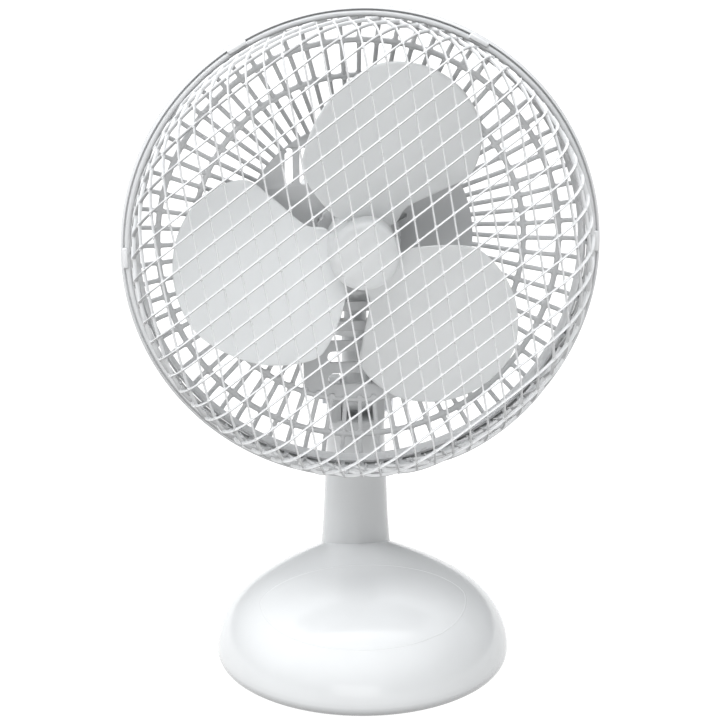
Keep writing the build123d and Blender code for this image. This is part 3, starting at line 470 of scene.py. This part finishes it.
# a solid band joins the outer ends of the ribs
FLANGE_START = 56
flange = Shape()
flange_line = []
for i in range(7):
    t = math.radians(FLANGE_START + (90 - FLANGE_START) * i / 6)
    flange_line.append((corner_start + BACK_CORNER * math.sin(t),
                        OUTER_FACE + BACK_CORNER * (1 - math.cos(t))))
flange_line.append((back_wall, -0.6))
revolve(flange, flange_line + [(r - 1.3, z + 0.4) for r, z in flange_line[::-1]], 240, closed=True)
flange.build("rear_guard_flange", white, "head", "guard_white", replaces=("rear_guard",), sharp=50)

rib_section = [(s, h - RIB_DEPTH / 2) for s, h in rounded(RIB_WIDTH, RIB_DEPTH, 0.75)]
guard = Shape()
for k in range(RIBS):
    a = math.radians(RIB_TURN * k)
    hidden = math.sin(a) < 0 and abs(math.cos(a)) * HIDDEN_REACH < PLATE_HALF
    path, normals = [], []
    for r, z, nr, nz in guard_stations(INNER - 1 if hidden else DISC - 1):
        path.append(Vector((r * math.cos(a), r * math.sin(a), z)))
        normals.append(Vector((nr * math.cos(a), nr * math.sin(a), nz)))
    sweep(guard, path, normals, rib_section)
for radius, z, width in ((INNER, INNER_FACE, 3.0), (OUTER, OUTER_FACE, 3.2)):
    revolve(guard, [(radius + s, z - 1.2 + h) for s, h in rounded(width, 2.5, 0.9)], 288, closed=True)
    for k in range(RIBS):
        a = math.radians(RIB_TURN * k)
        ways = (Vector((math.cos(a), math.sin(a))), Vector((-math.sin(a), math.cos(a))))
        star(ways[0] * radius, ways, (1.2, 1.45), 1.5, lambda p: (Vector((p.x, p.y, z)), Vector((0, 0, 1))),
             -0.05, -2.3, guard)
guard.build("rear_guard_ribs", rear_shaded_white, "head", "guard_white", replaces=("rear_guard",), sharp=50)


BEND_ROWS = range(-96, -60, 3)
BEND_COLUMNS = range(-30, 31, 6)


def plate_with_holes(name, outline, holes, z_front, thick, mat, slot, lift):
    """A plate with rounded-over edges and cut-outs, bent forward by lift(x, y)."""
    edge = 0.3
    curve = bpy.data.curves.new(name, "CURVE")
    curve.dimensions = "2D"
    curve.fill_mode = "BOTH"
    for loop in [outline] + holes:
        spline = curve.splines.new("POLY")
        spline.points.add(len(loop) - 1)
        for point, (x, y) in zip(spline.points, loop):
            point.co = (x, y, 0, 1)
        spline.use_cyclic_u = True
    curve.extrude = thick / 2 - edge
    curve.bevel_depth = edge
    curve.bevel_resolution = 2
    curve.offset = -edge
    temp = bpy.data.objects.new(name + "_curve", curve)
    bpy.context.collection.objects.link(temp)
    bpy.context.view_layer.update()
    mesh = bpy.data.meshes.new_from_object(temp)
    bm = bmesh.new()
    bm.from_mesh(mesh)
    for cuts, normal in ((BEND_ROWS, (0, 1, 0)), (BEND_COLUMNS, (1, 0, 0))):
        for at in cuts:
            bmesh.ops.bisect_plane(bm, geom=bm.verts[:] + bm.edges[:] + bm.faces[:],
                                   plane_co=Vector(normal) * at, plane_no=normal)
    bm.to_mesh(mesh)
    bm.free()
    shape = Shape()
    shape.add([(v.co.x, v.co.y, v.co.z + z_front - thick / 2 + lift(v.co.x, v.co.y)) for v in mesh.vertices],
              [list(p.vertices) for p in mesh.polygons])
    bpy.data.objects.remove(temp)
    bpy.data.curves.remove(curve)
    bpy.data.meshes.remove(mesh)
    shape.build(name, mat, "head", slot)


def circle(radius, count=96):
    return [(radius * math.cos(2 * math.pi * i / count), radius * math.sin(2 * math.pi * i / count))
            for i in range(count)]


def slot_loop(cx, cy, length, height, turn=0.0):
    """A slot with round ends."""
    out = []
    half = (length - height) / 2
    for side in (1, -1):
        for i in range(9):
            a = math.radians(-90 + 180 * i / 8) + (0 if side > 0 else math.pi)
            x, y = side * half + height / 2 * math.cos(a), height / 2 * math.sin(a)
            out.append((cx + x * math.cos(turn) - y * math.sin(turn),
                        cy + x * math.sin(turn) + y * math.cos(turn)))
    return out


SLOT_MIDDLE, SLOT_PITCH, SLOT_LENGTH, SLOT_HEIGHT = -60.5, 12, 37, 6.1
SIDE_SLOTS = (-40, -31.4)
SIDE_SLOT_MIDDLE, SIDE_SLOT_LENGTH, SIDE_SLOT_WIDTH = 42, 22, 4.7
SMALL_SLOTS = ((24, 135), (22, 156), (28, 23))  # radius and degrees
SMALL_SLOT_LENGTH, SMALL_SLOT_WIDTH = 7, 3
slots_cut = [slot_loop(0, SLOT_MIDDLE + SLOT_PITCH * i, SLOT_LENGTH, SLOT_HEIGHT) for i in (-2, -1, 0, 1, 2)]
slots_cut += [slot_loop(x, SIDE_SLOT_MIDDLE, SIDE_SLOT_LENGTH, SIDE_SLOT_WIDTH, math.pi / 2)
              for x in SIDE_SLOTS]
for r, d in SMALL_SLOTS:
    turn = math.radians(d)
    slots_cut.append(slot_loop(r * math.cos(turn), r * math.sin(turn), SMALL_SLOT_LENGTH, SMALL_SLOT_WIDTH,
                               turn))
# the disc and the apron below it are one plate: flat in the disc, then rising to the inner ring
apron_left = math.degrees(math.asin(PLATE_HALF / (INNER + 0.5)))
disc_turn = math.degrees(math.asin(PLATE_HALF / (DISC + DISC_LIP)))
plate_outline = []
for i in range(121):
    d = math.radians(-90 + disc_turn + (360 - 2 * disc_turn) * i / 120)
    plate_outline.append(((DISC + DISC_LIP) * math.cos(d), (DISC + DISC_LIP) * math.sin(d)))
for i in range(31):
    d = math.radians(-90 - apron_left + 2 * apron_left * i / 30)
    plate_outline.append(((INNER + 0.5) * math.cos(d), (INNER + 0.5) * math.sin(d)))


def dished(x, y):
    """The plate's rise from the flat disc to the inner ring."""
    r = math.hypot(x, y)
    return (INNER_FACE - DISC_FACE) * max(0.0, min(1.0, (r - DISC) / (INNER - DISC)))


plate_with_holes("rear_guard_disc", plate_outline, [circle(CENTRE_HOLE)] + slots_cut, DISC_FACE, DISC_THICK,
                 rear_shaded_white, "guard_white", dished)

# ------------------------------------------------------------ impeller
BLADES = 3
BLADE_TURN = 78
OUTLINE = [(16, 13), (21, 25), (36, 41), (48, 46), (69, 43), (87, 34), (103, 18), (109, 0), (107, -22),
           (96, -42), (76, -56), (52, -56), (40, -42), (27, -22), (15, -14)]
PITCH_TABLE = ((12, 34), (50, 25), (112, 16))  # radius and blade pitch in degrees
BLADE_MIDDLE = 7.0


def smooth_loop(points, per_side):
    """Catmull-Rom curve through a closed run of points."""
    out = []
    n = len(points)
    for i in range(n):
        p0, p1, p2, p3 = (Vector(points[(i + k - 1) % n]) for k in range(4))
        for s in range(per_side):
            t = s / per_side
            out.append(0.5 * ((2 * p1) + (p2 - p0) * t + (2 * p0 - 5 * p1 + 4 * p2 - p3) * t * t
                              + (3 * p1 - p0 - 3 * p2 + p3) * t ** 3))
    return out


def pitch_at(x):
    """Blade pitch, less towards the tip."""
    for (x0, p0), (x1, p1) in zip(PITCH_TABLE, PITCH_TABLE[1:]):
        if x <= x1:
            break
    return math.radians(p0 + (p1 - p0) * max(0.0, (x - x0)) / (x1 - x0))


def blade_mid(x, y):
    """Height of a blade's middle surface: pitched and slightly cupped."""
    camber = 2.2 * ((y / 50) ** 2 - 0.35)
    return BLADE_MIDDLE + y * math.tan(pitch_at(x)) + camber


blades = Shape()
edge_loop = smooth_loop(OUTLINE, 8)
centre = Vector((60, -5))
BLADE_EDGE = 0.965  # the blade's edge is rounded beyond this share of its outline
ring_scales = [0.12, 0.25, 0.4, 0.55, 0.68, 0.8, 0.89, 0.94, 0.965, 0.98, 0.992, 1.0]
for index in range(BLADES):
    a = math.radians(BLADE_TURN + 360 / BLADES * index)
    out, along = (math.cos(a), math.sin(a)), (-math.sin(a), math.cos(a))

    def blade_point(p, lift):
        z = blade_mid(p.x, p.y) + lift
        return (out[0] * p.x + along[0] * p.y, out[1] * p.x + along[1] * p.y, z)

    rings = []
    for face in (1, -1):
        scales = ring_scales if face > 0 else ring_scales[:-1][::-1]
        for s in scales:
            past = (s - BLADE_EDGE) / (1 - BLADE_EDGE)
            lift = 1.0 if past <= 0 else math.sqrt(max(0.0, 1 - past ** 2))
            rings.append([blade_point(centre + (p - centre) * s, face * lift) for p in edge_loop])
    blades.rings(rings)
hub_profile = [(0, 19.8), (17.6, 19.8), (17.6, -15.4), (18.1, -16), (19.5, -16), (20, -15.5), (20, 21.7),
               (19.7, 22), (0, 22)]
revolve(blades, hub_profile, 128)
revolve(blades, [(4.1, 19.9), (4.1, -14), (9, -14), (9, 19.9)], 48)
HUB_WEBS = 6
for k in range(HUB_WEBS):
    a = math.radians(360 / HUB_WEBS * k)
    rings = []
    for r in (8.5, 18):
        ring = []
        for s, h in ((-0.8, -14), (0.8, -14), (0.8, 20), (-0.8, 20)):
            ring.append((r * math.cos(a) - s * math.sin(a), r * math.sin(a) + s * math.cos(a), h))
        rings.append(ring)
    blades.rings(rings)
blades.build("fan_impeller", finish["blade_white"], "spinner", "blade_white", replaces=("impeller",),
             sharp=35)

cap = Shape()
cap_profile = [(0, 22.05), (19.6, 22.05), (19.95, 22.4), (19.9, 23.4), (19.4, 25), (18.3, 26.4), (16.6, 27.2),
               (14, 27.5), (0, 27.5)]
revolve(cap, cap_profile, 128)
cap.build("hub_cap", finish["blade_white"], "spinner", "blade_white", replaces=("spinner_cap",), sharp=50)

# ------------------------------------------------------------ base and neck
BASE_RADIUS = 87.7
EQUATOR = 7.7  # height of the widest circle
RISE = 50.0
SPREAD = 2.5  # how boxy the dome's section is
NECK_Y = 52.0
SKIRT = 4.2
SKIRT_START = 20
SKIRT_REACH = 45


def skirt(x, y):
    """How far the dome swells up towards the foot of the neck."""
    away = (math.hypot(x, y - NECK_Y) - SKIRT_START) / SKIRT_REACH
    return SKIRT * min(1.0, max(0.0, 1 - away)) ** 2


def section(r):
    """Height of the dome's plain section at a radius."""
    return EQUATOR + RISE * math.sqrt(max(0.0, 1 - (r / BASE_RADIUS) ** SPREAD))


def dome(x, y):
    return section(min(math.hypot(x, y), BASE_RADIUS)) + skirt(x, y)


def dome_normal(x, y):
    step = 0.2
    across = dome(x - step, y) - dome(x + step, y)
    along = dome(x, y - step) - dome(x, y + step)
    return Vector((across, along, 2 * step)).normalized()


base = Shape()
outer = [(0.0, EQUATOR + RISE)]
for i in range(1, 121):
    r = BASE_RADIUS * math.sin(math.pi / 2 * i / 120) ** 0.8
    outer.append((r, section(r)))
outer += [(87.5, 6.2), (86.9, 4.6), (85.9, 3.2), (84.4, 2.1), (83.0, 1.7), (81.6, 1.6), (79.4, 1.6),
          (79.4, 4)]
inner = [(84.9, 8.5), (80, 26), (60, 42), (30, 50), (0, 51.5)]
revolve(base, outer + inner, 288)
SWELL_FROM, SWELL_OVER = 10, 16
for i, (x, y, z) in enumerate(base.verts):
    if i % len(outer + inner) < len(outer) and z > SWELL_FROM:
        base.verts[i] = Vector((x, y, z + skirt(x, y) * min(1.0, (z - SWELL_FROM) / SWELL_OVER)))
shell = base.build("base_dome", finish["shell_white"], "base", "shell_white", place=world,
                   replaces=("base_shell",), sharp=30)


def cut(obj, cutter_shape, name):
    """Takes a shape away from a piece for good."""
    mesh = bpy.data.meshes.new(name)
    mesh.from_pydata([world(v) for v in cutter_shape.verts], [], cutter_shape.faces)
    bm = bmesh.new()
    bm.from_mesh(mesh)
    bmesh.ops.recalc_face_normals(bm, faces=bm.faces)
    bm.to_mesh(mesh)
    bm.free()
    tool = bpy.data.objects.new(name, mesh)
    bpy.context.collection.objects.link(tool)
    mod = obj.modifiers.new("cut", "BOOLEAN")
    mod.operation = "DIFFERENCE"
    mod.object = tool
    mod.solver = "EXACT"
    bpy.context.view_layer.update()
    done = bpy.data.meshes.new_from_object(obj.evaluated_get(bpy.context.evaluated_depsgraph_get()))
    obj.modifiers.clear()
    obj.data = done
    for p in done.polygons:
        p.use_smooth = True
    done.set_sharp_from_angle(angle=math.radians(30))
    bpy.data.objects.remove(tool)


# round seat for the speed knob, at the back
KNOB_HEIGHT = 22.0
SEAT = 79.0
SEAT_RADIUS = 16
seat_cutter = Shape()
rings = []
for y in (SEAT, SEAT + 20):
    rings.append([(x, y, KNOB_HEIGHT + z) for x, z in circle(SEAT_RADIUS, 72)])
seat_cutter.rings(rings)
cut(shell, seat_cutter, "seat_cutter")

# fine raised line that frames the front of the dome
LINE_CENTRE = (-1, -18)
LINE_HALF_WIDTH = 61
LINE_BACK, LINE_FRONT = 20, 55
line = Shape()
path, normals = [], []
for i in range(240):
    a = 2 * math.pi * i / 240
    x = LINE_CENTRE[0] + LINE_HALF_WIDTH * math.cos(a)
    y = LINE_CENTRE[1] + (LINE_BACK if math.sin(a) > 0 else LINE_FRONT) * math.sin(a)
    z = dome(x, y)
    n = dome_normal(x, y)
    path.append(Vector((x, y, z)))
    normals.append(n)
sweep(line, path, normals, [(0.55 * math.cos(t), 0.16 * math.sin(t) - 0.04) for t in
                            [2 * math.pi * i / 8 for i in range(8)]], closed=True)
line.build("dome_line", finish["shell_white"], "base", "shell_white", place=world, sharp=60)

neck = Shape()
neck_profile = [(22.9, 30), (21.9, 46), (21.35, 54), (20.8, 60), (20.1, 70), (19.5, 82), (19.0, 95),
                (18.4, 108), (17.9, 122), (17.5, 134), (17.2, 136.8), (16.4, 137.5), (0, 137.6)]
revolve(neck, neck_profile, 144, centre=(0, NECK_Y))
# two ears stand on the neck and carry the tilt hinge
EAR = 12.4
EAR_FOOT = 136
for side in (-1, 1):
    rings = []
    for x, grow in ((9.6, -0.5), (10.0, 0), (16.3, 0), (16.8, -0.5)):
        ring = []
        for i in range(33):
            a = math.pi * i / 32
            ring.append((side * x, NECK_Y + (EAR + grow) * math.cos(a), PIVOT.z + (EAR + grow) * math.sin(a)))
        ring += [(side * x, NECK_Y + way * (EAR + grow), EAR_FOOT) for way in (-1, 1)]
        rings.append(ring)
    neck.rings(rings)
neck.build("neck_column", finish["shell_white"], "base", "shell_white", place=world, replaces=("neck",))

# ------------------------------------------------------------ studio
floor_mat = bpy.data.materials.new("studio_floor")
floor_mat.use_nodes = True
floor_shader = floor_mat.node_tree.nodes["Principled BSDF"]
floor_shader.inputs["Base Color"].default_value = (0.12, 0.12, 0.12, 1)
floor_shader.inputs["Roughness"].default_value = 0.9
floor_shader.inputs["Specular IOR Level"].default_value = 0.1
floor_shader.inputs["Emission Color"].default_value = (1, 1, 1, 1)
floor_shader.inputs["Emission Strength"].default_value = 1.0
FLOOR = 14
floor_mesh = bpy.data.meshes.new("floor")
floor_mesh.from_pydata([(-FLOOR, -FLOOR, 0), (FLOOR, -FLOOR, 0), (FLOOR, FLOOR, 0), (-FLOOR, FLOOR, 0)], [],
                       [(0, 1, 2, 3)])
floor_mesh.materials.append(floor_mat)
floor = bpy.data.objects.new("floor", floor_mesh)
bpy.context.collection.objects.link(floor)

studio = bpy.data.worlds.new("studio")
bpy.context.scene.world = studio
studio.use_nodes = True
sky = studio.node_tree.nodes
links = studio.node_tree.links
# the sky is bright overhead, a little to the left, and fades to dark at the horizon
way = sky.new("ShaderNodeTexCoord")
toward = sky.new("ShaderNodeVectorMath")
toward.operation = "DOT_PRODUCT"
toward.inputs[1].default_value = (-0.22, -0.06, 0.974)
links.new(way.outputs["Generated"], toward.inputs[0])
rise = sky.new("ShaderNodeMapRange")
rise.inputs["From Min"].default_value = 0.3
rise.inputs["From Max"].default_value = 1.0
rise.inputs["To Min"].default_value = 0.05
rise.inputs["To Max"].default_value = 3.2
links.new(toward.outputs["Value"], rise.inputs["Value"])
links.new(rise.outputs["Result"], sky["Background"].inputs["Strength"])
sky["Background"].inputs["Color"].default_value = (0.97, 0.985, 1.0, 1)


def softbox(name, spot, aim, size, power):
    """A rectangular area light, aimed at a point. Metres and watts."""
    light = bpy.data.lights.new(name, "AREA")
    light.shape = "RECTANGLE"
    light.size, light.size_y = size
    light.energy = power
    obj = bpy.data.objects.new(name, light)
    obj.location = spot
    obj.rotation_euler = (Vector(aim) - Vector(spot)).to_track_quat("-Z", "Y").to_euler()
    bpy.context.collection.objects.link(obj)


softbox("key", (-1.1, -0.9, 1.7), (0, 0, 0.2), (1.6, 1.2), 0.8)
softbox("front", (-0.12, -0.8, 0.12), (0, -0.05, 0.0), (0.5, 0.25), 1.0)
softbox("top", (0.0, 0.3, 1.9), (0, 0, 0.2), (1.8, 1.2), 10)

camera = bpy.data.cameras.new("camera")
camera.lens = 100
camera.sensor_width = 36
camera_obj = bpy.data.objects.new("camera", camera)
camera_obj.location = (-0.08896, -1.10547, 0.53488)
camera_obj.rotation_euler = (math.radians(72.623), 0, math.radians(-4.528))
bpy.context.collection.objects.link(camera_obj)
bpy.context.scene.camera = camera_obj
bpy.context.scene.view_settings.view_transform = "Standard"
